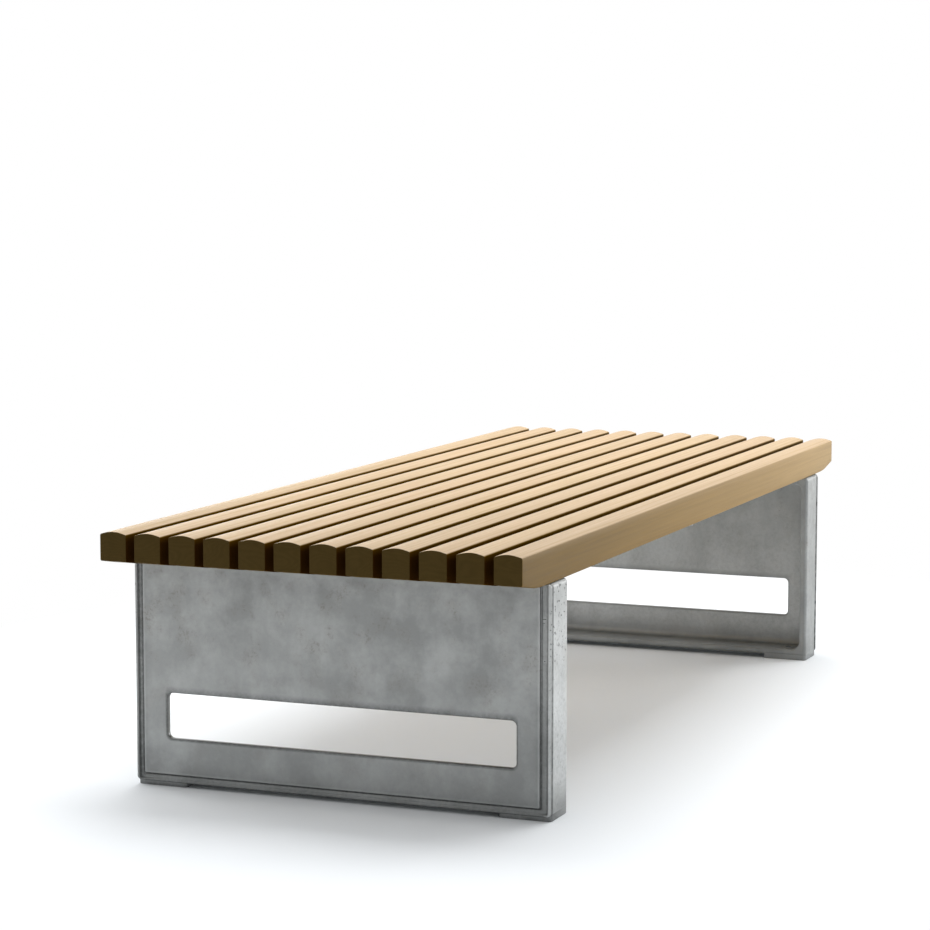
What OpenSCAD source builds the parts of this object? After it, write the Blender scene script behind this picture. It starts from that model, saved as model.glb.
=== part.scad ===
// Slatted garden bench on two cast legs.
// Millimetres. X runs along the slats, Y across them, Z is up.
// The origin is on the floor under the middle of the seat.

/* [Seat] */
// length of the slats
seat_l = 1800; // [1400:10:2400]
// height from the floor to the top of the slats
seat_h = 434; // [340:1:540]
// width of one slat
slat_w = 46; // [36:1:60]
// clear gap between two slats
slat_gap = 15; // [8:1:20]
// height of one slat, from its underside to the top of its crown
slat_h = 60; // [48:1:80]
// rise of the rounded top above the slat's side edges
crown = 4; // [1:0.5:6]
// small flat along each lower edge of a slat
slat_edge = 2; // [1:0.5:4]
// length of the cut that thins each slat end from below
taper_l = 60; // [20:1:90]
// height of that cut at the slat's end
taper_h = 12; // [4:1:18]

/* [Legs] */
// distance from the slat ends in to the outer face of a leg
overhang = 116; // [60:1:260]
// thickness of a leg along the seat
leg_t = 78; // [60:1:110]
// how far a leg reaches past the outer slat on each side
leg_side = 3.5; // [0:0.5:10]
// width of the flat rim round the outer face
rim_w = 13; // [8:1:20]
// depth of the sunk panel behind the rim
recess = 4; // [2:0.5:6]
// width of the groove round the panel
groove_w = 3; // [2:0.5:5]
// depth of that groove below the panel
groove_d = 1.5; // [0.5:0.5:2.5]
// wall left behind the sunk panel
web_t = 9; // [7:0.5:14]
// thickness of the face plate at the leg's edge
plate_t = 6; // [4:0.5:8]
// width of the step line behind the face plate
step_w = 1.5; // [1:0.5:3]
// depth of the step line
step_d = 1.2; // [0.4:0.2:2]
// corner radius of the face plate
corner_r = 8; // [4:1:14]
// thickness of the side flanges
side_t = 16; // [10:1:24]
// thickness of the flange under the slats
top_t = 12; // [8:1:18]
// thickness of the flange above the feet
base_t = 12; // [8:1:18]
// corner radius inside the leg's hollow side
pocket_r = 16; // [6:1:24]

/* [Slot] */
// distance from the leg's side to the end of the slot
slot_side = 58; // [40:1:120]
// height of the slot's lower edge above the floor
slot_z = 81; // [60:1:110]
// height of the slot
slot_h = 75; // [40:1:110]
// corner radius of the slot
slot_r = 9; // [4:1:16]

/* [Feet] */
// height of a foot under the leg
foot_h = 9; // [5:1:15]
// length of a foot across the bench
foot_l = 85; // [60:1:120]
// set-back of a foot from the leg's sides and inner edge
foot_in = 3.5; // [1:0.5:8]
// set-back of a foot from the leg's outer face
foot_face = 6; // [3:0.5:12]
// diameter of the ground anchor holes
anchor_d = 13; // [9:0.5:17]

/* [Fasteners] */
// shank diameter of the screws that hold the slats on the legs
screw_d = 8; // [6:0.5:10]
// shank diameter of the screws in the tie bar
tie_screw_d = 6; // [4:0.5:8]
// wood left between a screw tip and the slat's side edge height
tip_cover = 12; // [8:1:20]
// radial clearance round a screw in its hole
hole_clear = 0.5; // [0.2:0.1:1]
// radial clearance round a screw in the wood
wood_clear = 0.1; // [0.05:0.05:0.3]
// free depth beyond a screw's tip
tip_clear = 0.5; // [0.2:0.1:2]
// thickness of a washer
washer_t = 1.6; // [1:0.2:3]
// free space between the outer washers and the side flanges
wrench_clear = 1; // [0.5:0.5:4]

/* [Tie bar] */
// width of the bar along the seat
tie_w = 40; // [25:1:60]
// thickness of the bar
tie_t = 5; // [3:0.5:8]
// distance from the outer slat's side to the end of the bar
tie_in = 18; // [6:1:20]

/* [Hidden] */
$fn = 64;
slat_n = 12;
eps = 1;
slat_pitch = slat_w + slat_gap;
seat_w = slat_n * slat_w + (slat_n - 1) * slat_gap;
leg_w = seat_w + 2 * leg_side;
leg_h = seat_h - slat_h;
leg_x = seat_l / 2 - overhang;
web_in = recess + web_t;
crown_r = (slat_w * slat_w / 4 + crown * crown) / (2 * crown);
slot_l = leg_w - 2 * slot_side;
flange_mid = (web_in + leg_t) / 2;
screw_x = leg_x - flange_mid;
foot_w = leg_t - foot_face - foot_in;
anchor_y = leg_w / 2 - foot_in - foot_l / 2;
screw_tip = leg_h + slat_h - crown - tip_cover;
screw_head_h = 0.66 * screw_d;
screw_head_r = 0.94 * screw_d;
washer_r = 1.06 * screw_d;
washer_top = leg_h - top_t;
screw_reach = leg_w / 2 - side_t - washer_r - wrench_clear;
tie_head_h = 0.66 * tie_screw_d;
tie_head_r = 0.96 * tie_screw_d;
tie_l = seat_w - 2 * tie_in;
wood = [0.80, 0.66, 0.45];
metal = [0.62, 0.63, 0.63];
steel = [0.72, 0.72, 0.74];

// centre of slat number k across the bench, counted from +Y
function slat_y(k) = (seat_w - slat_w) / 2 - (k - 1) * slat_pitch;

// place of the leg screw of slat k: on the slat's centre line, or clear of the side flange
function screw_y(k) = max(-screw_reach, min(screw_reach, slat_y(k)));

// flat shape with rounded corners, centred sideways, standing on its lower edge
module rounded(w, h, r) {
  translate([-w / 2 + r, 0]) square([w - 2 * r, h]);
  translate([-w / 2, r]) square([w, h - 2 * r]);
  for (x = [-w / 2 + r, w / 2 - r])
    for (y = [r, h - r])
      translate([x, y]) circle(r);
}

// flat shape with rounded lower corners and square upper ones
module trough(w, h, r) {
  rounded(w, h, r);
  translate([-w / 2, h / 2]) square([w, h / 2]);
}

// stands a flat shape up across the bench and gives it thickness along +X
module stand(x, t) {
  translate([x, 0, 0]) rotate([90, 0, 90]) linear_extrude(t) children();
}

// end section of a slat: crowned top, small flats on the lower edges
module slat_section() {
  difference() {
    intersection() {
      translate([-slat_w / 2, 0]) square([slat_w, slat_h]);
      translate([0, slat_h - crown_r]) circle(crown_r, $fn = 180);
    }
    polygon([
      [-slat_w / 2 - eps, -eps],
      [-slat_w / 2 + slat_edge + eps, -eps],
      [-slat_w / 2 - eps, slat_edge + eps]
    ]);
    polygon([
      [slat_w / 2 + eps, -eps],
      [slat_w / 2 - slat_edge - eps, -eps],
      [slat_w / 2 + eps, slat_edge + eps]
    ]);
  }
}

// wedge taken off the underside at one end of a slat
module end_cut() {
  translate([0, slat_w / 2 + eps, 0]) rotate([90, 0, 0]) linear_extrude(slat_w + 2 * eps)
    polygon([
      [seat_l / 2 - taper_l, 0],
      [seat_l / 2 - taper_l, -eps],
      [seat_l / 2 + eps, -eps],
      [seat_l / 2 + eps, taper_h * (taper_l + eps) / taper_l]
    ]);
}

// hole in a slat's underside for a screw of diameter d, a little deeper than its tip
module blind_hole(d) {
  translate([0, 0, -eps]) cylinder(r = d / 2 + wood_clear, h = screw_tip - leg_h + eps + tip_clear);
}

// one slat with the blind holes for its screws
module slat(k) {
  color(wood) translate([0, slat_y(k), leg_h]) difference() {
    stand(-seat_l / 2, seat_l) slat_section();
    end_cut();
    mirror([1, 0, 0]) end_cut();
    for (x = [-screw_x, screw_x])
      translate([x, screw_y(k) - slat_y(k), 0]) blind_hole(screw_d);
    blind_hole(tie_screw_d);
  }
}

// leg in its own frame: outer face at x = 0, hollow side towards +X
module leg_shape() {
  difference() {
    union() {
      translate([0, 0, foot_h]) stand(0, plate_t) rounded(leg_w, leg_h - foot_h, corner_r);
      translate([0, 0, foot_h + step_d])
        stand(plate_t - eps, step_w + 2 * eps)
        rounded(leg_w - 2 * step_d, leg_h - foot_h - 2 * step_d, corner_r - step_d);
      translate([0, 0, foot_h])
        stand(plate_t + step_w, leg_t - plate_t - step_w)
        rounded(leg_w, leg_h - foot_h, corner_r / 2);
      for (s = [-1, 1])
        translate([foot_face, s * anchor_y - foot_l / 2, 0])
          cube([foot_w, foot_l, foot_h + base_t / 2]);
    }
    sunk_panel();
    translate([0, 0, foot_h + base_t])
      stand(web_in, leg_t)
      trough(leg_w - 2 * side_t, leg_h - foot_h - base_t - top_t, pocket_r);
    translate([0, 0, slot_z]) stand(-eps, leg_t) rounded(slot_l, slot_h, slot_r);
    for (k = [1 : slat_n])
      translate([flange_mid, screw_y(k), washer_top - eps])
        cylinder(r = screw_d / 2 + hole_clear, h = top_t + 2 * eps);
    for (s = [-1, 1])
      translate([flange_mid, s * anchor_y, -eps])
        cylinder(r = anchor_d / 2, h = foot_h + base_t + 2 * eps);
  }
}

// recess of the outer face, with the deeper groove round its edge
module sunk_panel() {
  panel_w = leg_w - 2 * rim_w;
  panel_h = leg_h - foot_h - 2 * rim_w;
  translate([0, 0, foot_h + rim_w]) {
    stand(-eps, recess + eps) rounded(panel_w, panel_h, corner_r * 0.75);
    stand(-eps, recess + groove_d + eps) difference() {
      rounded(panel_w, panel_h, corner_r * 0.75);
      translate([0, groove_w])
        rounded(panel_w - 2 * groove_w, panel_h - 2 * groove_w, corner_r * 0.75 - groove_w / 2);
    }
  }
}

module leg_1() {
  color(metal) translate([-leg_x, 0, 0]) leg_shape();
}

module leg_2() {
  color(metal) translate([leg_x, 0, 0]) mirror([1, 0, 0]) leg_shape();
}

// hexagon head screw pointing up, seat of the head at z = 0
module hex_screw(d, head_r, head_h, reach) {
  translate([0, 0, -head_h]) cylinder(r = head_r, h = head_h, $fn = 6);
  cylinder(r = d / 2, h = reach - d / 2);
  translate([0, 0, reach - d / 2]) cylinder(r1 = d / 2, r2 = d / 8, h = d / 2);
}

module washer() {
  difference() {
    cylinder(r = washer_r, h = washer_t);
    translate([0, 0, -eps]) cylinder(r = screw_d / 2 + hole_clear, h = washer_t + 2 * eps);
  }
}

// row of slat screws under the top flange of the leg on side s
module screw_row(s) {
  color(steel) for (k = [1 : slat_n])
    translate([s * screw_x, screw_y(k), washer_top - washer_t])
      hex_screw(screw_d, screw_head_r, screw_head_h, screw_tip - washer_top + washer_t);
}

module washer_row(s) {
  color(steel) for (k = [1 : slat_n])
    translate([s * screw_x, screw_y(k), washer_top - washer_t]) washer();
}

module slat_screws_1() {
  screw_row(-1);
}

module slat_screws_2() {
  screw_row(1);
}

module slat_washers_1() {
  washer_row(-1);
}

module slat_washers_2() {
  washer_row(1);
}

// flat bar that keeps the slats in line at mid length
module tie_bar() {
  color(steel) difference() {
    translate([-tie_w / 2, -tie_l / 2, leg_h - tie_t]) cube([tie_w, tie_l, tie_t]);
    for (k = [1 : slat_n])
      translate([0, slat_y(k), leg_h - tie_t - eps])
        cylinder(r = tie_screw_d / 2 + hole_clear, h = tie_t + 2 * eps);
  }
}

module tie_screws() {
  color(steel) for (k = [1 : slat_n])
    translate([0, slat_y(k), leg_h - tie_t])
      hex_screw(tie_screw_d, tie_head_r, tie_head_h, screw_tip - leg_h + tie_t);
}

slat(1);  // slat_01
slat(2);  // slat_02
slat(3);  // slat_03
slat(4);  // slat_04
slat(5);  // slat_05
slat(6);  // slat_06
slat(7);  // slat_07
slat(8);  // slat_08
slat(9);  // slat_09
slat(10);  // slat_10
slat(11);  // slat_11
slat(12);  // slat_12
leg_1();
leg_2();
slat_screws_1();
slat_screws_2();
slat_washers_1();
slat_washers_2();
tie_bar();
tie_screws();
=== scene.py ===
"""Garden bench: twelve crowned wooden slats on two cast metal legs, in a plain white studio."""
import math

import bpy
from mathutils import Matrix, Vector, noise


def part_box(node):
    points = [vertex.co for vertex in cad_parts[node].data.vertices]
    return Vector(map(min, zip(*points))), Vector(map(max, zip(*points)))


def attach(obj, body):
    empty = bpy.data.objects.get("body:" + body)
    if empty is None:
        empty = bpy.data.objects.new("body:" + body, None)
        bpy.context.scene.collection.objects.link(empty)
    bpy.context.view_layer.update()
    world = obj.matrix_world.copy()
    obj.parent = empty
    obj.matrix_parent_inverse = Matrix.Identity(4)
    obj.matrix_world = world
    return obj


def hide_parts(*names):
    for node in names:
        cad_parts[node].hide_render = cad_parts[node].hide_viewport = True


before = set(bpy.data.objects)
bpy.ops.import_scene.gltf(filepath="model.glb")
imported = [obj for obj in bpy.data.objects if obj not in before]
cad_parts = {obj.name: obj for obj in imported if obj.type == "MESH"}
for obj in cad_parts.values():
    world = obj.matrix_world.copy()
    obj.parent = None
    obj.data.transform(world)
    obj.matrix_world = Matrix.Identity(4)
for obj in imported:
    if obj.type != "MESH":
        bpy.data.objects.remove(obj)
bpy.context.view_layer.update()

MM = 0.001
BODY = "root"
SLATS = 12
LEGS = (("leg_1", -1), ("leg_2", 1))

# ---------------------------------------------------------------- sizes taken from the frame
leg_low, leg_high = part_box("leg_1")
slat_low, slat_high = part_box("slat_01")
washers_low, washers_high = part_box("slat_washers_1")
LEG_X = -leg_low.x                       # outer face of a leg, from the middle of the bench
LEG_T = leg_high.x - leg_low.x
LEG_W = leg_high.y - leg_low.y
LEG_H = leg_high.z
SEAT_L = slat_high.x - slat_low.x
SLAT_W = slat_high.y - slat_low.y
SLAT_TOP = slat_high.z
SLAT_H = SLAT_TOP - LEG_H
SCREW_U = LEG_X + (washers_low.x + washers_high.x) / 2     # screw row, in from the outer face

# ---------------------------------------------------------------- sizes of the finish
CROWN = 4.0 * MM                         # rise of a slat's top over its width
SLAT_ARRIS = 2.6 * MM                    # rounding where the crown meets the side
SLAT_LOWER = 2.4 * MM                    # rounding of the lower edges
END_ROUND = 1.2 * MM                     # rounding round the end face
TAPER_H = 12.5 * MM                      # how much the underside rises at the slat's end
TAPER_SLOPE = 0.195                      # rise of the underside per metre towards the end
TAPER_BLEND = 3.0 * MM                   # softens the bend where the rise begins
TAPER_DROP = 0.1 * MM                    # takes up the blend's last rise, so the middle stays flat
PLAIN = 1.0                              # a distance from the end that is well past the taper

PANEL_DEPTH = 1.6 * MM                   # the panel, in from the outer face
PANEL_INSET = 18.5 * MM                  # where the plain panel ends and its edge begins
LOW_EDGE = 0.80                          # width of the frame along the bottom, as a share of the sides'
TOP_EDGE = 0.30                          # and along the top, where the panel runs up under the slats
FRAME_WIDEN = 1.08                       # scale of the profile's insets inside the ridge
BODY_Z = 7.4 * MM                        # lower edge of the casting between and beside its feet
PANEL_SHIFT = 2.2 * MM                   # the panel sits this much off the middle
SIDE_IN = 0.8 * MM                       # side face, in from the edge of the frame
WEB_IN = 13.0 * MM                       # inner face of the web, in from the outer face
CORNER_R = 8.0 * MM
SIDE_LOW_R = 1.5 * MM                    # lower corner of the side faces
SIDE_T = 16.0 * MM                       # walls round the hollow inner side
TOP_T = 12.0 * MM
BASE_T = 12.0 * MM
POCKET_R = 16.0 * MM                     # corners of the hollow
COVE_R = 11.0 * MM                       # rounding between the web and those walls
BACK_ROUND = 5.5 * MM                    # rounding of the leg's inner edge
LIP_ROUND = 3.0 * MM                     # rounding of the hollow's edge
SIDE_START = 14.0 * MM                   # depth at which the plain side face begins
FOOT_H = 9.0 * MM
FOOT_L = 89.0 * MM
FOOT_IN = 0.9 * MM                       # foot, in from the leg's side and inner edge
FOOT_FACE = 7.0 * MM                     # foot, in from the outer face
FOOT_OVERLAP = 3.0 * MM                  # how far a foot reaches up into the casting
FOOT_CORNER_R = 5.0 * MM
FOOT_EDGE = 1.6 * MM                     # rounding under a foot
ANCHOR_R = 6.5 * MM
ANCHOR_IN = 46.0 * MM                    # anchor hole, in from the side
HOLE_LOW = -5.0 * MM                     # the anchor holes are cut from below the feet
HOLE_HIGH = 40.0 * MM                    # to above the base
SLOT_SIDE = 58.0 * MM                    # end of the slot, in from the side
SLOT_Z = 81.0 * MM                       # its lower edge
SLOT_H = 75.0 * MM
SLOT_R = 9.0 * MM                        # its corners
SLOT_ARRIS = 2.4 * MM                    # rounding of its edges
CAST_ROUGH = 0.22 * MM                   # unevenness of the casting
SMOOTH_ANGLE = 38.0                      # degrees; sharper bends than this show as edges


# ---------------------------------------------------------------- mesh helpers
def new_object(name, verts, faces, materials=()):
    mesh = bpy.data.meshes.new(name)
    mesh.from_pydata([tuple(v) for v in verts], [], faces)
    mesh.validate()
    mesh.update()
    for material in materials:
        mesh.materials.append(material)
    obj = bpy.data.objects.new(name, mesh)
    bpy.context.scene.collection.objects.link(obj)
    shade(obj)
    return obj


def shade(obj):
    """Smooth shading, apart from the sharp bends."""
    mesh = obj.data
    mesh.polygons.foreach_set("use_smooth", [True] * len(mesh.polygons))
    mesh.set_sharp_from_angle(angle=math.radians(SMOOTH_ANGLE))
    mesh.update()


def ramp(value, low, high):
    """0 below low, 1 above high, straight between them."""
    return min(1.0, max(0.0, (value - low) / (high - low)))


def loft(rings, closed=False):
    """Quads between rings of equal length. Returns vertices and faces."""
    n = len(rings[0])
    verts = [p for ring in rings for p in ring]
    faces = []
    last = len(rings) if closed else len(rings) - 1
    for i in range(last):
        a, b = i * n, ((i + 1) % len(rings)) * n
        for j in range(n):
            k = (j + 1) % n
            faces.append((a + j, a + k, b + k, b + j))
    return verts, faces


def arc(cx, cy, r, start, end, steps):
    """Points of an arc between two angles in degrees."""
    for i in range(steps + 1):
        t = math.radians(start + (end - start) * i / steps)
        yield cx + r * math.cos(t), cy + r * math.sin(t)


# ---------------------------------------------------------------- slats
def slat_bottom(s):
    """Height of the underside at the distance s from the slat's end."""
    line = TAPER_H - TAPER_SLOPE * s
    return max(0.0, 0.5 * (line + math.hypot(line, TAPER_BLEND)) - TAPER_DROP)


def slat_section(bottom, inset):
    """Outline of a slat across its length, drawn in by inset all round."""
    half = SLAT_W / 2 - inset
    low = bottom + inset
    edge = SLAT_H - CROWN - inset
    smallest = 0.2 * MM
    lower = max(SLAT_LOWER - inset, smallest)
    arris = max(SLAT_ARRIS - inset, smallest)
    points = list(arc(half - lower, low + lower, lower, -90, 0, 4))
    points += [(half, low + (edge - low) * t) for t in (0.25, 0.5, 0.75)]
    points += list(arc(half - arris, edge - arris * 0.85, arris, 0, 76, 3))
    crown_points = 11
    for i in range(1, crown_points):
        t = 1 - 2 * i / crown_points
        y = t * (half - arris)
        points.append((y, edge + CROWN * (1 - t * t * 0.93)))
    points += list(arc(-half + arris, edge - arris * 0.85, arris, 104, 180, 3))
    points += [(-half, edge + (low - edge) * t) for t in (0.25, 0.5, 0.75)]
    points += list(arc(-half + lower, low + lower, lower, 180, 270, 4))
    return points


def slat_stations():
    """Distances from the slat's end, with the rounding of the end face."""
    stations = []
    steps = 4
    for i in range(steps + 1):
        t = math.radians(90 * i / steps)
        stations.append((END_ROUND * (1 - math.cos(t)), END_ROUND * (1 - math.sin(t))))
    spacing = 4 * MM
    count = 32
    stations += [(spacing * k, 0.0) for k in range(1, count + 1)]
    return stations


# The sides of the slats that face a gap carry painted shade; these set where it lies.
GAP_EDGE = 1.9 * MM                      # width of a slat's edge that counts as the gap's side
GAP_START = 0.2 * MM                     # height above the crown's foot at which a gap begins
GAP_FADE = 3.0 * MM                      # depth at which the painted shade in a gap is full
GOLDEN = 0.6180339                       # the fractions of its multiples spread evenly from 0 to 1


def gap_shade(co, middle, number):
    """How far a point is down inside a gap between two slats, from 0 to 1; the painted shade there follows
    it.
    """
    across = co.y - middle
    open_side = (number == SLATS and across < 0) or (number == 1 and across > 0)
    if open_side or abs(across) < SLAT_W / 2 - GAP_EDGE:
        return 0.0
    depth = SLAT_TOP - CROWN + GAP_START - co.z
    return ramp(depth, 0.0, GAP_FADE)


def make_slat(number, materials):
    """One slat; its materials are for the long faces, the end faces and the sides of the gaps, which carry
    painted shade.
    """
    low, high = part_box(f"slat_{number:02d}")
    middle = (low.y + high.y) / 2
    ends = slat_stations()
    rows = [(s - SEAT_L / 2, s, inset) for s, inset in ends]
    inner = SEAT_L - 2 * ends[-1][0]
    count = 40
    rows += [(-inner / 2 + inner * i / count, PLAIN, 0.0) for i in range(1, count)]
    rows += [(SEAT_L / 2 - s, s, inset) for s, inset in reversed(ends)]
    rings = []
    for x, s, inset in rows:
        section = slat_section(slat_bottom(s), inset)
        rings.append([(x, middle + y, LEG_H + z) for y, z in section])
    verts, faces = loft(rings)
    n = len(rings[0])
    faces = [tuple(reversed(f)) for f in faces]
    faces.append(tuple(range(n)))
    faces.append(tuple(reversed(range(len(verts) - n, len(verts)))))
    obj = new_object(f"wood_slat_{number:02d}", verts, faces, materials)
    mesh = obj.data
    depths = [gap_shade(v.co, middle, number) for v in mesh.vertices]
    for polygon in mesh.polygons:
        if abs(polygon.center.x) > SEAT_L / 2 - END_ROUND * 0.6:
            polygon.material_index = 1
        elif max(depths[i] for i in polygon.vertices) > 0.3:
            polygon.material_index = 2
    seed = mesh.attributes.new("slat_seed", "FLOAT", "POINT")
    value = (number * GOLDEN) % 1.0
    seed.data.foreach_set("value", [value] * len(mesh.vertices))
    in_gap = mesh.attributes.new("gap_shade", "FLOAT", "POINT")
    in_gap.data.foreach_set("value", depths)
    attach(obj, BODY)
    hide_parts(f"slat_{number:02d}")
    return obj


# ---------------------------------------------------------------- legs
SIDE_SEGMENTS = 120                      # along the long sides of a ring
END_SEGMENTS = 56                        # along its short sides
CORNER_SEGMENTS = 7
WEB_ROWS = 20                            # rings across the flat of the web's inner face
PANEL_ROWS = 22                          # and across the panel
SIDE_ROWS = 20                           # along the side faces' depth
WALL_ROWS = 9                            # and along the hollow's walls
COVE_ROWS = 7


def ring_points(y0, y1, z0, z1, r, r_low=None):
    """Rounded rectangle with a fixed number of points, anticlockwise from the lower left."""
    points = []
    low = r if r_low is None else r_low

    def side(a, b, count):
        points.extend(a.lerp(b, i / count) for i in range(count))

    def corner(cx, cy, radius, start):
        for i in range(CORNER_SEGMENTS):
            t = math.radians(start + 90 * i / CORNER_SEGMENTS)
            points.append(Vector((cx + radius * math.cos(t), cy + radius * math.sin(t))))

    side(Vector((y0 + low, z0)), Vector((y1 - low, z0)), SIDE_SEGMENTS)
    corner(y1 - low, z0 + low, low, -90)
    side(Vector((y1, z0 + low)), Vector((y1, z1 - r)), END_SEGMENTS)
    corner(y1 - r, z1 - r, r, 0)
    side(Vector((y1 - r, z1)), Vector((y0 + r, z1)), SIDE_SEGMENTS)
    corner(y0 + r, z1 - r, r, 90)
    side(Vector((y0, z1 - r)), Vector((y0, z0 + low)), END_SEGMENTS)
    corner(y0 + low, z0 + low, low, 180)
    return points


def outline(inset, r_low=None):
    """The leg's outline, drawn in by inset."""
    r = max(CORNER_R - inset, 2.5 * MM)
    w = LEG_W / 2 - inset
    shift = PANEL_SHIFT * min(1.0, max(0.0, inset - 6 * MM) / (8 * MM))
    low = BODY_Z + inset * LOW_EDGE
    high = LEG_H - inset * TOP_EDGE
    return ring_points(-w + shift, w + shift, low, high, r, r_low)


def pocket(grow):
    """The edge of the hollow inner side, made larger by grow."""
    w = LEG_W / 2 - SIDE_T + grow
    r = max(POCKET_R + grow, 3 * MM)
    return ring_points(-w, w, FOOT_H + BASE_T - grow, LEG_H - TOP_T + grow, r)


def slot_ring(grow):
    """The edge of the slot, made larger by grow."""
    w = LEG_W / 2 - SLOT_SIDE + grow
    return ring_points(-w, w, SLOT_Z - grow, SLOT_Z + SLOT_H + grow, SLOT_R + grow)


# The cast frame round the panel as (inset mm, depth mm, dirt and painted light): the panel's rounded edge,
# the groove at its foot, the sunk channel, the rounded ridge at the corner, and the step behind it on the
# side face.
# The third value is 1 where dirt and painted shade lie in a groove, and below 0 where an edge is rubbed
# bright and given a painted highlight.
FRAME_PROFILE = (
    (18.5, 1.6, 0.0), (17.2, 1.6, -0.1), (16.5, 1.7, -0.25), (16.0, 2.0, -0.2), (15.6, 2.6, 0.2),
    (15.3, 3.5, 0.5), (15.0, 4.5, 0.75), (14.6, 5.1, 0.85), (14.0, 5.3, 0.85), (13.4, 5.0, 0.65),
    (12.9, 4.4, 0.48), (12.3, 4.0, 0.38), (11.4, 3.8, 0.33), (9.8, 3.7, 0.30), (8.2, 3.6, 0.32),
    (7.4, 3.7, 0.45), (6.9, 4.1, 0.75), (6.5, 4.2, 0.85), (6.2, 3.8, 0.75), (5.9, 2.9, 0.5),
    (5.7, 1.9, 0.2), (5.4, 1.0, -0.1), (5.0, 0.4, -0.4), (4.4, 0.1, -0.5), (3.7, 0.0, -0.5),
    (2.9, 0.15, -0.5), (2.1, 0.55, -0.5), (1.4, 1.2, -0.4), (0.8, 2.1, -0.3), (0.35, 3.2, -0.1),
    (0.1, 4.3, 0.3), (0.1, 5.2, 0.8), (0.6, 5.9, 1.0), (1.6, 6.5, 1.0), (2.2, 7.4, 1.0),
    (2.4, 8.8, 1.0), (2.3, 10.4, 1.0), (1.9, 11.8, 0.9), (1.3, 12.8, 0.4), (0.9, 13.5, 0.05),
)


SLOT_EDGE_SHADE = 0.75                         # painted shade on the slot's outer edge
PANEL_EDGE_SHADE = 0.22                        # painted shade on the panel, close to its frame
WALL_PAINTED_LIGHT = -0.2                         # painted light on the hollow's walls
WEB_PAINTED_LIGHT = -0.3                          # painted light on the web's inner face
SIDE_PAINTED_LIGHT = {"leg_1": -0.33, "leg_2": 0.24}   # painted light and shade on the side faces: lighter on leg_1, darker on leg_2


def leg_rings(side_painted_light):
    """Rings of points all the way round the casting's section, and the dirt and painted light of each ring.

    A point's x is its depth from the leg's outer face.
    """
    rings = []
    ring_dirt_and_light = []

    def add(depth, points, dirt_and_painted_light=0.0):
        rings.append([Vector((depth, p.x, p.y)) for p in points])
        ring_dirt_and_light.append(dirt_and_painted_light)

    def between(depth, first, last, count, dirt_and_painted_light=0.0, power=6):
        """Flat rings between two rings; the dirt and painted light gather towards the last one."""
        for i in range(1, count):
            t = i / count
            add(depth, [a.lerp(b, t) for a, b in zip(first, last)], dirt_and_painted_light * t ** power)

    a = SLOT_ARRIS
    steps = (0, math.pi / 8, math.pi / 4, math.pi * 3 / 8, math.pi / 2)
    quarter = [(math.sin(t), math.cos(t)) for t in steps]
    for s, c in quarter:
        add(PANEL_DEPTH + a * (1 - s), slot_ring(a * (1 - c)), SLOT_EDGE_SHADE)
    between(PANEL_DEPTH, slot_ring(a), outline(PANEL_INSET * FRAME_WIDEN), PANEL_ROWS, PANEL_EDGE_SHADE)
    for inset, depth, dirt_and_painted_light in FRAME_PROFILE:
        wide = FRAME_WIDEN if inset > 6 else 1.0
        add(depth * MM, outline(inset * wide * MM), dirt_and_painted_light)
    side_depth = LEG_T - BACK_ROUND - SIDE_START
    for i in range(SIDE_ROWS):
        add(SIDE_START + side_depth * i / SIDE_ROWS, outline(SIDE_IN, SIDE_LOW_R), side_painted_light)
    for s, c in quarter:
        add(LEG_T - BACK_ROUND * (1 - s), outline(SIDE_IN + BACK_ROUND * (1 - c), SIDE_LOW_R), side_painted_light)
    between(LEG_T, outline(SIDE_IN + BACK_ROUND), pocket(LIP_ROUND), 3)
    for s, c in reversed(quarter):
        add(LEG_T - LIP_ROUND * (1 - s), pocket(LIP_ROUND * (1 - c)))
    wall = LEG_T - LIP_ROUND - WEB_IN - COVE_R
    for i in range(1, WALL_ROWS):
        add(LEG_T - LIP_ROUND - wall * i / WALL_ROWS, pocket(0), WALL_PAINTED_LIGHT)
    for i in range(COVE_ROWS):
        t = math.pi / 2 * i / (COVE_ROWS - 1)
        add(WEB_IN + COVE_R * (1 - math.sin(t)), pocket(-COVE_R * (1 - math.cos(t))), WALL_PAINTED_LIGHT)
    between(WEB_IN, pocket(-COVE_R), slot_ring(a), WEB_ROWS, WEB_PAINTED_LIGHT, 0)
    for s, c in reversed(quarter):
        add(WEB_IN - a * (1 - s), slot_ring(a * (1 - c)))
    return rings, ring_dirt_and_light


def set_dirt_and_painted_light(obj, values):
    """Stores the dirt and painted light of each point, which the metal's material reads."""
    dirt_and_painted_light = obj.data.attributes.new("dirt_and_painted_light", "FLOAT", "POINT")
    dirt_and_painted_light.data.foreach_set("value", values)


def cast_surface(obj, seed):
    """Gentle unevenness of a sand casting, always into the metal."""
    mesh = obj.data
    shift = Vector((seed * 3.7, seed * 1.9, seed * 0.7))
    normals = [vertex.normal.copy() for vertex in mesh.vertices]
    places = []
    for vertex, normal in zip(mesh.vertices, normals):
        p = vertex.co + shift
        slow = 0.5 + 0.5 * noise.noise(p * 9.0)
        quick = 0.5 + 0.5 * noise.noise(p * 70.0)
        places.extend(vertex.co - normal * CAST_ROUGH * (0.7 * slow + 0.5 * quick))
    mesh.vertices.foreach_set("co", places)
    mesh.update()


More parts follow.
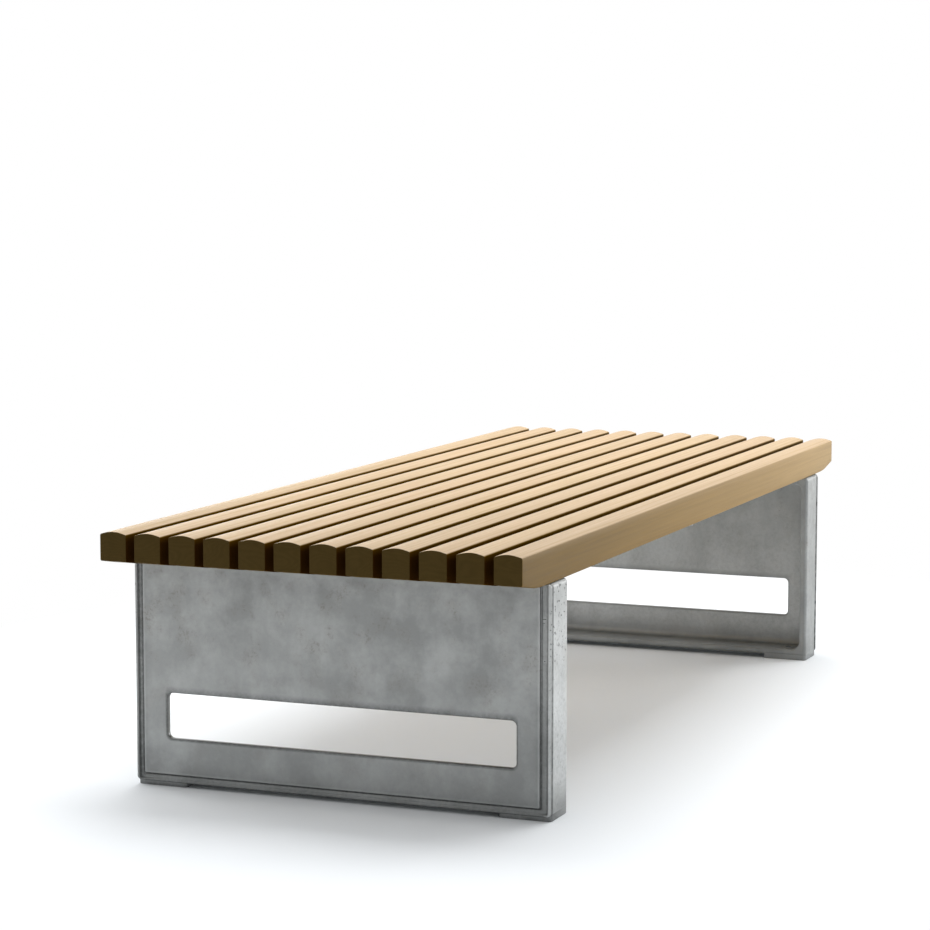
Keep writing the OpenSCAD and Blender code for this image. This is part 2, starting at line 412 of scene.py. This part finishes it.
def block(name, u0, u1, y0, y1, z0, z1):
    """A foot: a low block with rounded corners and a rounded lower edge."""
    r = FOOT_CORNER_R
    e = FOOT_EDGE

    def outline_at(grow, z):
        points = []
        corners = ((u1 - r, y1 - r, 0), (u0 + r, y1 - r, 90), (u0 + r, y0 + r, 180), (u1 - r, y0 + r, 270))
        for cx, cy, start in corners:
            sy = 1 if start in (0, 90) else -1
            for x, y in arc(cx, cy + grow * sy, r, start, start + 90, 4):
                points.append((x, y, z))
        return points

    rings = [outline_at(-e, z0), outline_at(-0.3 * e, z0 + 0.3 * e), outline_at(0, z0 + e)]
    rings += [outline_at(0, z0 + 1.4 * e), outline_at(0, z1)]
    verts, faces = loft(rings)
    n = len(rings[0])
    faces.append(tuple(reversed(range(n))))
    faces.append(tuple(range(len(verts) - n, len(verts))))
    obj = new_object(name, verts, faces)
    # Painted shade on the foot: darkest on its front face under the casting.
    set_dirt_and_painted_light(obj, [0.6 if v[0] < u0 + 6 * MM else 0.16 for v in verts])
    return obj


def cylinder(name, x, y, z0, z1, r, segments=40):
    rings = [[(x + r * math.cos(2 * math.pi * i / segments), y + r * math.sin(2 * math.pi * i / segments), z)
              for i in range(segments)] for z in (z0, z1)]
    verts, faces = loft(rings)
    faces.append(tuple(reversed(range(segments))))
    faces.append(tuple(range(segments, 2 * segments)))
    return new_object(name, verts, faces)


def box(name, low, high):
    """A plain box between two corners, used as a cutting tool. Its cut is left dark as painted shade."""
    rings = [[(low[0], low[1], z), (high[0], low[1], z), (high[0], high[1], z), (low[0], high[1], z)]
             for z in (low[2], high[2])]
    verts, faces = loft(rings)
    faces += [(3, 2, 1, 0), (4, 5, 6, 7)]
    obj = new_object(name, verts, faces)
    set_dirt_and_painted_light(obj, [2.4] * len(verts))
    return obj


def combine(obj, tool, operation):
    """Applies one boolean to obj and removes the tool."""
    modifier = obj.modifiers.new("cut", "BOOLEAN")
    modifier.operation = operation
    modifier.solver = "MANIFOLD"
    modifier.object = tool
    bpy.context.view_layer.update()
    graph = bpy.context.evaluated_depsgraph_get()
    mesh = bpy.data.meshes.new_from_object(obj.evaluated_get(graph))
    obj.modifiers.clear()
    old = obj.data
    obj.data = mesh
    bpy.data.meshes.remove(old)
    bpy.data.objects.remove(tool)


FRONT = 6 * MM                           # depth down to which a point counts as the front
RIDGE_W = 6.2 * MM                       # the ridge, in from the side
CHANNEL_W = 13.5 * MM                    # the channel's inner edge, in from the side
PANEL_W = 19 * MM                        # where the panel begins, in from the side


def dirt_and_painted_light_at(point, value):
    """Dirt and painted light of a ring at one point of the casting."""
    height = point.z / LEG_H
    above = point.z - BODY_Z
    from_side = LEG_W / 2 - abs(point.y)
    front = point.x < FRONT
    # the dark marks, dirt with painted shade, thin out towards the top
    if value > 0.5:
        value *= 0.95 - 0.5 * height
    elif value > 0:
        value *= 0.95 - 0.1 * height
    # the step on the side face is ragged; behind it, faces with painted light are brightest low down, less
    # so towards the top, and go over to painted shade close to the floor
    if 5.8 * MM < point.x < 13 * MM:
        value *= max(0.3, 0.95 + 1.1 * noise.noise(point * 110.0))
    elif point.x > 13 * MM and value < 0:
        value *= 1.5 - 1.2 * ramp(height, 0.45, 0.95)
        value = 0.16 + (value - 0.16) * ramp(point.z, 6 * MM, 60 * MM)
    # painted shade: at the +Y side the whole channel is dark and the ridge has no painted highlight
    if front and point.y > 0:
        if RIDGE_W < from_side < CHANNEL_W:
            value = max(value, 0.62)
        elif from_side <= RIDGE_W:
            value = max(value, 0.0)
    # painted shade: the panel darkens softly towards its lower -Y corner
    if front and from_side > PANEL_W:
        value += 0.10 * ramp(-point.y, 0.0, LEG_W / 2) * (1 - ramp(height, 0.1, 0.6)) * 0.5
    # painted shade: the lower edge is a dark line below a grey band
    if point.x < 12 * MM and above < 1.2 * MM:
        return max(value, 0.95)
    if front and above < 6.5 * MM and from_side > 9 * MM:
        return 0.36
    return value


def flatten_low_edge(rings):
    """Along the bottom the ridge dies away: the channel runs out flat to the lower edge."""
    for ring in rings:
        for point in ring:
            above = point.z - BODY_Z
            from_side = LEG_W / 2 - abs(point.y)
            if point.x < 4.3 * MM and above < 9 * MM and from_side > 6 * MM:
                amount = ramp(from_side, 6 * MM, 18 * MM) * (1 - ramp(above, 7 * MM, 9 * MM))
                point.x += (3.2 * MM - point.x) * 0.85 * amount


# Small flaws of the casting in the sunk channel of leg_1: (y, z, length, thickness) in mm.
NICKS = ((-349.6, 318.4, 5.6, 1.0), (-348.8, 312.4, 3.4, 1.0), (-350.0, 253.0, 2.0, 1.6))
NICK_FROM = 1.0 * MM                     # depths between which they are cut
NICK_TO = 5.6 * MM


def make_leg(name, side, material):
    rings, ring_dirt_and_light = leg_rings(SIDE_PAINTED_LIGHT[name])
    flatten_low_edge(rings)
    verts, faces = loft(rings, closed=True)
    obj = new_object(f"cast_{name}", verts, faces, (material,))
    set_dirt_and_painted_light(obj, [dirt_and_painted_light_at(p, value) for ring, value in zip(rings, ring_dirt_and_light) for p in ring])
    cast_surface(obj, side + 2)
    foot_y = LEG_W / 2 - FOOT_IN
    anchor_y = LEG_W / 2 - ANCHOR_IN
    for s in (-1, 1):
        y0, y1 = sorted((s * foot_y, s * (foot_y - FOOT_L)))
        foot = block("foot", FOOT_FACE, LEG_T - FOOT_IN, y0, y1, 0.0, FOOT_H + FOOT_OVERLAP)
        combine(obj, foot, "UNION")
    for s in (-1, 1):
        hole = cylinder("hole", SCREW_U, s * anchor_y, HOLE_LOW, HOLE_HIGH, ANCHOR_R)
        combine(obj, hole, "DIFFERENCE")
    if side < 0:
        for y, z, length, thick in NICKS:
            low = (NICK_FROM, (y - length / 2) * MM, (z - thick / 2) * MM)
            high = (NICK_TO, (y + length / 2) * MM, (z + thick / 2) * MM)
            combine(obj, box("nick", low, high), "DIFFERENCE")
    mesh = obj.data
    if side < 0:
        mesh.transform(Matrix.Translation((-LEG_X, 0, 0)))
    else:
        mesh.transform(Matrix.Translation((LEG_X, 0, 0)) @ Matrix.Diagonal((-1, 1, 1, 1)))
        mesh.flip_normals()
    shade(obj)
    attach(obj, BODY)
    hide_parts(name)
    return obj


# ---------------------------------------------------------------- node helpers
class Nodes:
    """Short way to write a node tree."""

    def __init__(self, name):
        self.material = bpy.data.materials.new(name)
        self.material.use_nodes = True
        self.tree = self.material.node_tree
        self.tree.nodes.clear()
        self.out = self.tree.nodes.new("ShaderNodeOutputMaterial")

    def add(self, kind, inputs=None, **settings):
        node = self.tree.nodes.new(kind)
        for key, value in settings.items():
            setattr(node, key, value)
        for key, value in (inputs or {}).items():
            socket = node.inputs[key]
            if isinstance(value, bpy.types.NodeSocket):
                self.tree.links.new(value, socket)
            else:
                socket.default_value = value
        return node

    def math(self, operation, a, b=0.0, clamp=False):
        return self.add("ShaderNodeMath", {0: a, 1: b}, operation=operation, use_clamp=clamp).outputs[0]

    def noise(self, vector, scale, detail=4.0, roughness=0.55):
        inputs = {"Vector": vector, "Scale": scale, "Detail": detail, "Roughness": roughness}
        return self.add("ShaderNodeTexNoise", inputs).outputs["Fac"]

    def ramp(self, value, low, high, to_low=0.0, to_high=1.0):
        inputs = {"Value": value, "From Min": low, "From Max": high, "To Min": to_low, "To Max": to_high}
        return self.add("ShaderNodeMapRange", inputs, clamp=True).outputs["Result"]

    def mix(self, factor, a, b, blend="MIX"):
        node = self.add("ShaderNodeMix", data_type="RGBA", blend_type=blend)
        for index, value in ((0, factor), (6, a), (7, b)):
            if isinstance(value, bpy.types.NodeSocket):
                self.tree.links.new(value, node.inputs[index])
            else:
                node.inputs[index].default_value = value
        return node.outputs[2]

    def stretch(self, vector, scale):
        return self.add("ShaderNodeMapping", {"Vector": vector, "Scale": scale}).outputs["Vector"]

    def bump(self, height, strength, distance, normal=None):
        inputs = {"Height": height, "Strength": strength, "Distance": distance}
        if normal is not None:
            inputs["Normal"] = normal
        return self.add("ShaderNodeBump", inputs).outputs["Normal"]

    def position(self):
        return self.add("ShaderNodeTexCoord").outputs["Object"]

    def surface(self, shader):
        self.tree.links.new(shader, self.out.inputs["Surface"])
        return self.material


def rgb(r, g, b):
    """An sRGB colour, 0 to 255, as linear RGBA."""
    def linear(c):
        c /= 255
        return c / 12.92 if c <= 0.04045 else ((c + 0.055) / 1.055) ** 2.4
    return (linear(r), linear(g), linear(b), 1.0)


# ---------------------------------------------------------------- materials
WOOD_DARK = rgb(148, 119, 58)            # the wood, between these two
WOOD_LIGHT = rgb(182, 149, 84)
WOOD_RED = rgb(255, 236, 226)            # each slat's own tint, between these two
WOOD_GREEN = rgb(250, 250, 226)
WOOD_PORE = rgb(104, 74, 38)
WOOD_BLEACHED_LIT = rgb(209, 187, 162)           # the slats' tops, partly bleached and partly painted light from above with painted sheen
WOOD_GAP_SHADE = rgb(46, 24, 6)                # painted shade on the sides of the gaps
END_DARK = rgb(66, 52, 20)               # the end grain, between these two
END_LIGHT = rgb(70, 55, 23)
END_BLOTCH = rgb(77, 60, 27)
END_PORE = rgb(45, 33, 12)
CAST_DARK = rgb(153, 155, 154)           # the casting, between these two
CAST_LIGHT = rgb(172, 174, 173)
CAST_PATCH = rgb(196, 198, 197)
CAST_WIPE = rgb(150, 152, 152)
CAST_MOTTLE = rgb(140, 142, 142)
CAST_STAIN = rgb(150, 147, 141)
CAST_FRECKLE = rgb(112, 106, 96)
CAST_LOW_SHADE = rgb(120, 122, 122)            # painted shade towards the floor
CAST_SPECK = rgb(84, 84, 82)
CAST_DIRT_AND_SHADE = rgb(52, 54, 54)              # dirt and painted shade in the grooves, steps and cuts
CAST_RUBBED_AND_LIT = rgb(232, 234, 234)         # edges rubbed bright, painted highlights, and painted light on faces
CAST_PIT = rgb(58, 58, 56)
STEEL_DARK = rgb(150, 150, 152)          # the steel, between these two
STEEL_LIGHT = rgb(196, 196, 198)
STEEL_DULL = rgb(110, 108, 104)
FLOOR_COLOUR = (0.88, 0.91, 0.935, 1.0)  # linear


def wood_base(n):
    """The seed and the coordinates of one slat: each has its own piece of the grain."""
    seed = n.add("ShaderNodeAttribute", attribute_name="slat_seed").outputs["Fac"]
    far = n.math("MULTIPLY", seed, 37.0)
    across = n.math("MULTIPLY", seed, 11.0)
    offset = n.add("ShaderNodeCombineXYZ", {"X": far, "Y": across, "Z": far}).outputs[0]
    shifted = n.add("ShaderNodeVectorMath", {0: n.position(), 1: offset}, operation="ADD").outputs[0]
    return seed, shifted


def make_wood_long(name, specular):
    """Long grain, with a painted falloff of light that makes it darker and deeper in colour towards -X,
    paler on top partly from bleaching and partly as painted light from above and painted sheen, and nearly
    black in the gaps as painted shade.
    """
    n = Nodes(name)
    seed, place = wood_base(n)
    drift = n.noise(n.stretch(place, (0.7, 6.0, 6.0)), 1.0, 2.0)
    drift = n.math("MULTIPLY", drift, 0.05)
    lift = n.add("ShaderNodeCombineXYZ", {"Y": drift, "Z": drift}).outputs[0]
    bent = n.add("ShaderNodeVectorMath", {0: place, 1: lift}, operation="ADD").outputs[0]
    rings = n.noise(n.stretch(bent, (0.30, 30.0, 30.0)), 1.0, 2.0, 0.5)
    bands = n.ramp(n.math("SINE", n.math("MULTIPLY", rings, 60.0)), -1.0, 1.0)
    streak = n.ramp(n.noise(n.stretch(place, (2.5, 260.0, 260.0)), 1.0, 4.0, 0.6), 0.3, 0.7)
    fibre = n.noise(n.stretch(place, (14.0, 1100.0, 1100.0)), 1.0, 4.0, 0.65)
    pores = n.ramp(n.noise(n.stretch(place, (30.0, 1500.0, 1500.0)), 1.0, 2.0), 0.62, 0.75)
    slow = n.ramp(n.noise(n.stretch(place, (1.6, 14.0, 14.0)), 1.0, 3.0), 0.3, 0.7)
    tone = n.math("ADD", n.math("MULTIPLY", bands, 0.12), n.math("MULTIPLY", streak, 0.36))
    tone = n.math("ADD", tone, n.math("MULTIPLY", slow, 0.30))
    tone = n.math("ADD", tone, n.math("MULTIPLY", n.ramp(fibre, 0.3, 0.7), 0.22))
    colour = n.mix(tone, WOOD_DARK, WOOD_LIGHT)
    tint = n.mix(seed, WOOD_RED, WOOD_GREEN)
    colour = n.mix(0.5, colour, tint, "MULTIPLY")
    shift = n.ramp(n.math("FRACT", n.math("MULTIPLY", seed, 7.31)), 0.0, 1.0, 0.93, 1.10)
    colour = n.add("ShaderNodeHueSaturation", {"Color": colour, "Value": shift}).outputs[0]
    colour = n.mix(n.math("MULTIPLY", pores, 0.30), colour, WOOD_PORE)
    facing = n.add("ShaderNodeSeparateXYZ", {0: n.add("ShaderNodeTexCoord").outputs["Normal"]}).outputs["Z"]
    # The tops are paler, partly from bleaching and partly as painted light from above and painted sheen.
    top = n.ramp(facing, 0.35, 0.95)
    lit_bleached_top = n.mix(n.ramp(streak, 0.0, 1.0, 0.38, 0.72), colour, WOOD_BLEACHED_LIT)
    # Painted light: the sides get darker and more saturated towards -X, and the tops a little darker, as a
    # painted falloff of the light along the seat.
    along = n.ramp(n.add("ShaderNodeSeparateXYZ", {0: n.position()}).outputs["X"], -SEAT_L / 2, SEAT_L / 2)
    side_light_falloff = n.ramp(along, 0.0, 0.9, 0.38, 0.98)
    inputs = {"Color": colour, "Value": side_light_falloff, "Saturation": n.ramp(along, 0.0, 1.0, 1.22, 0.84)}
    colour = n.add("ShaderNodeHueSaturation", inputs).outputs[0]
    inputs = {"Color": lit_bleached_top, "Value": n.ramp(along, 0.0, 0.8, 0.86, 1.0)}
    lit_bleached_top = n.add("ShaderNodeHueSaturation", inputs).outputs[0]
    colour = n.mix(top, colour, lit_bleached_top)
    # Painted shade: the sides of the gaps darken nearly to black, and turn rough, where shade falls between
    # the slats.
    gap = n.add("ShaderNodeAttribute", attribute_name="gap_shade").outputs["Fac"]
    colour = n.mix(n.math("MULTIPLY", gap, 0.95), colour, WOOD_GAP_SHADE)
    height = n.math("SUBTRACT", n.math("MULTIPLY", fibre, 0.6), n.math("MULTIPLY", pores, 0.7))
    normal = n.bump(height, 0.3, 0.2 * MM)
    rough = n.math("MAXIMUM", n.ramp(fibre, 0.2, 0.8, 0.40, 0.52), n.math("MULTIPLY", gap, 0.95))
    inputs = {"Base Color": colour, "Roughness": rough, "Normal": normal, "Specular IOR Level": specular}
    shader = n.add("ShaderNodeBsdfPrincipled", inputs)
    return n.surface(shader.outputs[0])


def make_wood_end():
    """End grain: dark, with fine pores and faint rings."""
    n = Nodes("wood_end_grain")
    _, place = wood_base(n)
    rings = n.noise(n.stretch(place, (1.0, 12.0, 26.0)), 1.0, 1.0, 0.4)
    bands = n.ramp(n.math("SINE", n.math("MULTIPLY", rings, 90.0)), -1.0, 1.0)
    pores = n.ramp(n.noise(place, 1400.0, 2.0), 0.55, 0.7)
    blotch = n.ramp(n.noise(place, 55.0, 3.0), 0.3, 0.7)
    colour = n.mix(bands, END_DARK, END_LIGHT)
    colour = n.mix(n.math("MULTIPLY", blotch, 0.3), colour, END_BLOTCH)
    colour = n.mix(n.math("MULTIPLY", pores, 0.4), colour, END_PORE)
    normal = n.bump(n.math("SUBTRACT", n.math("MULTIPLY", bands, 0.12), pores), 0.25, 0.1 * MM)
    inputs = {"Base Color": colour, "Roughness": 0.8, "Normal": normal, "Specular IOR Level": 0.1}
    shader = n.add("ShaderNodeBsdfPrincipled", inputs)
    return n.surface(shader.outputs[0])


def make_cast():
    """Cast aluminium: clouded, stained and pitted, with dirt and painted shade in its grooves, edges rubbed
    bright and given painted highlights, painted light on its sides and painted shade towards the floor.
    """
    n = Nodes("cast_metal")
    place = n.position()
    cloud = n.ramp(n.noise(place, 4.5, 3.0, 0.5), 0.36, 0.64)
    patch = n.ramp(n.noise(place, 15.0, 7.0, 0.62), 0.40, 0.64)
    wipe = n.ramp(n.noise(n.stretch(place, (50.0, 50.0, 4.0)), 1.0, 3.0), 0.35, 0.65)
    mottle = n.ramp(n.noise(place, 110.0, 5.0, 0.7), 0.35, 0.65)
    stain = n.ramp(n.noise(place, 22.0, 3.0, 0.6), 0.52, 0.66)
    grit = n.noise(place, 900.0, 4.0, 0.7)
    colour = n.mix(cloud, CAST_DARK, CAST_LIGHT)
    colour = n.mix(n.math("MULTIPLY", patch, 0.42), colour, CAST_PATCH)
    colour = n.mix(n.math("MULTIPLY", wipe, 0.18), colour, CAST_WIPE)
    colour = n.mix(n.math("MULTIPLY", mottle, 0.16), colour, CAST_MOTTLE)
    dots = n.ramp(n.noise(place, 190.0, 4.0, 0.75), 0.52, 0.62)
    parts = n.add("ShaderNodeSeparateXYZ", {0: place}).outputs
    height = n.ramp(parts["Z"], 0.0, LEG_H)
    freckle = n.math("MULTIPLY", dots, n.math("MULTIPLY", stain, n.ramp(height, 0.35, 0.7, 0.15, 1.0)))
    colour = n.mix(n.math("MULTIPLY", stain, 0.18), colour, CAST_STAIN)
    colour = n.mix(n.math("MULTIPLY", freckle, 0.34), colour, CAST_FRECKLE)
    # Painted shade: the casting darkens towards the floor.
    shade_low = n.ramp(height, 0.0, 0.75, 0.28, 0.0)
    colour = n.mix(shade_low, colour, CAST_LOW_SHADE)
    speck = n.ramp(n.noise(place, 330.0, 4.0, 0.7), 0.67, 0.74)
    colour = n.mix(n.math("MULTIPLY", speck, 0.55), colour, CAST_SPECK)
    # Above 0 this attribute darkens the metal with dirt and painted shade; below 0 it lightens it with
    # rubbed wear, painted highlights and painted light.
    dirt_and_painted_light = n.add("ShaderNodeAttribute", attribute_name="dirt_and_painted_light").outputs["Fac"]
    ragged = n.math("MULTIPLY", dirt_and_painted_light, n.ramp(n.noise(place, 160.0, 4.0, 0.7), 0.3, 0.6, 0.5, 1.0))
    colour = n.mix(n.math("MULTIPLY", ragged, 0.86, True), colour, CAST_DIRT_AND_SHADE)
    colour = n.mix(n.math("MULTIPLY", ragged, -0.8, True), colour, CAST_RUBBED_AND_LIT)
    outer = n.ramp(n.math("ABSOLUTE", parts["Y"]), LEG_W / 2 - 6 * MM, LEG_W / 2 - 2 * MM)
    upper = n.math("MULTIPLY", outer, n.ramp(parts["Z"], 0.20, 0.33, 0.25, 1.0))
    holes = n.ramp(n.noise(place, 170.0, 3.0, 0.6), 0.60, 0.65)
    holes = n.math("MULTIPLY", holes, n.math("MULTIPLY", upper, n.ramp(parts["X"], 0.0, 0.5, 1.0, 0.3)))
    colour = n.mix(n.math("MULTIPLY", holes, 0.85), colour, CAST_PIT)
    rough = n.ramp(patch, 0.0, 1.0, 0.56, 0.46)
    pits = n.ramp(n.noise(place, 420.0, 3.0, 0.6), 0.60, 0.72)
    deep = n.math("MAXIMUM", pits, n.math("MULTIPLY", holes, 2.5))
    relief = n.math("SUBTRACT", n.math("MULTIPLY", grit, 0.35), deep)
    waves = n.noise(place, 60.0, 3.0)
    normal = n.bump(waves, 0.25, 1.0 * MM)
    normal = n.bump(relief, 0.45, 0.25 * MM, normal)
    inputs = {"Base Color": colour, "Metallic": 0.85, "Roughness": rough, "Normal": normal}
    return n.surface(n.add("ShaderNodeBsdfPrincipled", inputs).outputs[0])


def make_steel(name, along):
    """Bright steel with fine lines; along gives their scale on each axis."""
    n = Nodes(name)
    place = n.position()
    lines = n.noise(n.stretch(place, along), 1.0, 4.0, 0.6)
    colour = n.mix(n.ramp(lines, 0.3, 0.7), STEEL_DARK, STEEL_LIGHT)
    dull = n.ramp(n.noise(place, 120.0, 4.0), 0.5, 0.75)
    colour = n.mix(n.math("MULTIPLY", dull, 0.3), colour, STEEL_DULL)
    rough = n.ramp(lines, 0.2, 0.8, 0.24, 0.40)
    normal = n.bump(lines, 0.15, 0.05 * MM)
    inputs = {"Base Color": colour, "Metallic": 1.0, "Roughness": rough, "Normal": normal}
    return n.surface(n.add("ShaderNodeBsdfPrincipled", inputs).outputs[0])


FADE_FROM = 1.15                         # metres from the middle at which the paper starts to fade
FADE_TO = 1.9
FADE_ACROSS = 1.35                       # it fades this much sooner along Y


def make_floor_material():
    """Pale paper round the bench that runs out into plain white."""
    n = Nodes("studio_floor")
    place = n.position()
    squash = (1.0, FADE_ACROSS, 1.0)
    flat = n.add("ShaderNodeVectorMath", {0: place, 1: squash}, operation="MULTIPLY").outputs[0]
    distance = n.add("ShaderNodeVectorMath", {0: flat}, operation="LENGTH").outputs["Value"]
    fade = n.ramp(distance, FADE_FROM, FADE_TO)
    paper = n.add("ShaderNodeBsdfDiffuse", {"Color": FLOOR_COLOUR}).outputs[0]
    white = n.add("ShaderNodeEmission", {"Color": (1, 1, 1, 1), "Strength": 1.0}).outputs[0]
    path = n.add("ShaderNodeLightPath")
    seen = n.math("MAXIMUM", path.outputs["Is Camera Ray"], path.outputs["Is Glossy Ray"])
    seen = n.math("MAXIMUM", seen, path.outputs["Is Transmission Ray"])
    factor = n.math("MULTIPLY", fade, seen)
    return n.surface(n.add("ShaderNodeMixShader", {0: factor, 1: paper, 2: white}).outputs[0])


# ---------------------------------------------------------------- build
wood_long = make_wood_long("wood_long_grain", 0.14)
# The gap sides' wood, without specular, carries painted shade.
wood_gap = make_wood_long("wood_gap_shade", 0.0)
wood_end = make_wood_end()
cast = make_cast()
for number in range(1, SLATS + 1):
    make_slat(number, (wood_long, wood_end, wood_gap))
for leg_name, leg_side in LEGS:
    make_leg(leg_name, leg_side, cast)

fastener = make_steel("fastener_steel", (300.0, 300.0, 300.0))
bar = make_steel("bar_steel", (900.0, 14.0, 900.0))
STEEL_NODES = ("slat_screws_1", "slat_screws_2", "slat_washers_1", "slat_washers_2", "tie_screws", "tie_bar")
for node_name in STEEL_NODES:
    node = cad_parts[node_name]
    node.data.materials.clear()
    node.data.materials.append(bar if node_name == "tie_bar" else fastener)

# ---------------------------------------------------------------- stage
FLOOR_HALF = 30.0
floor = new_object("floor", [(-FLOOR_HALF, -FLOOR_HALF, 0), (FLOOR_HALF, -FLOOR_HALF, 0),
                             (FLOOR_HALF, FLOOR_HALF, 0), (-FLOOR_HALF, FLOOR_HALF, 0)],
                   [(0, 1, 2, 3)], (make_floor_material(),))


def area_light(name, at, target, width, height, power):
    """A soft rectangular lamp that the camera does not see."""
    data = bpy.data.lights.new(name, "AREA")
    data.shape = "RECTANGLE"
    data.size = width
    data.size_y = height
    data.energy = power
    obj = bpy.data.objects.new(name, data)
    bpy.context.scene.collection.objects.link(obj)
    obj.location = at
    obj.rotation_euler = (Vector(target) - Vector(at)).to_track_quat("-Z", "Y").to_euler()
    obj.visible_camera = False


# name, place, target, width, height, watts
LAMPS = (
    ("overhead", (0.7, 0.05, 3.0), (0.1, 0, 0.3), 2.8, 2.6, 76),
    ("right_far", (2.6, -2.3, 0.9), (-0.4, -0.36, 0.3), 1.8, 1.3, 36),
    ("left", (-0.4, 2.4, 1.5), (-0.6, 0.3, 0.4), 1.6, 1.2, 22),
    ("back_left", (2.9, 2.5, 0.85), (-0.6, 0.3, 0.43), 1.4, 0.7, 9),
)
for lamp in LAMPS:
    area_light(*lamp)

WORLD_LOW = 0.54
WORLD_HIGH = 1.05
WORLD_FROM = -0.5                        # direction X at which the glow starts to grow
WORLD_TO = 0.7


def make_world():
    """White to the camera. To everything else the world is a soft glow, stronger from +X than from -X."""
    world = bpy.data.worlds.new("studio")
    bpy.context.scene.world = world
    world.use_nodes = True
    tree = world.node_tree
    tree.nodes.clear()
    out = tree.nodes.new("ShaderNodeOutputWorld")
    plain = tree.nodes.new("ShaderNodeBackground")
    white = tree.nodes.new("ShaderNodeBackground")
    white.inputs["Strength"].default_value = 1.0
    mix = tree.nodes.new("ShaderNodeMixShader")
    path = tree.nodes.new("ShaderNodeLightPath")
    place = tree.nodes.new("ShaderNodeTexCoord")
    split = tree.nodes.new("ShaderNodeSeparateXYZ")
    level = tree.nodes.new("ShaderNodeMapRange")
    level.interpolation_type = "SMOOTHSTEP"
    level.inputs["From Min"].default_value = WORLD_FROM
    level.inputs["From Max"].default_value = WORLD_TO
    level.inputs["To Min"].default_value = WORLD_LOW
    level.inputs["To Max"].default_value = WORLD_HIGH
    tree.links.new(place.outputs["Generated"], split.inputs[0])
    tree.links.new(split.outputs["X"], level.inputs["Value"])
    tree.links.new(level.outputs["Result"], plain.inputs["Strength"])
    plain.inputs["Color"].default_value = (1, 1, 1, 1)
    white.inputs["Color"].default_value = (1, 1, 1, 1)
    tree.links.new(path.outputs["Is Camera Ray"], mix.inputs[0])
    tree.links.new(plain.outputs[0], mix.inputs[1])
    tree.links.new(white.outputs[0], mix.inputs[2])
    tree.links.new(mix.outputs[0], out.inputs["Surface"])


make_world()

# ---------------------------------------------------------------- camera
CAMERA_AT = (-4.8305, -1.8577, 1.0518)
CAMERA_YAW = 22.042                      # degrees from +X towards +Y
CAMERA_PITCH = -6.532
CAMERA_LENS = 110.25                     # mm, on a sensor 36 mm wide


def make_camera():
    """The camera that looks along the bench from beyond its -X end."""
    camera_data = bpy.data.cameras.new("camera")
    camera_data.sensor_width = 36.0
    camera_data.lens = CAMERA_LENS
    camera = bpy.data.objects.new("camera", camera_data)
    bpy.context.scene.collection.objects.link(camera)
    camera.location = CAMERA_AT
    camera.rotation_euler = (math.radians(90 + CAMERA_PITCH), 0, math.radians(CAMERA_YAW - 90))
    bpy.context.scene.camera = camera


make_camera()
bpy.context.scene.view_settings.view_transform = "Standard"
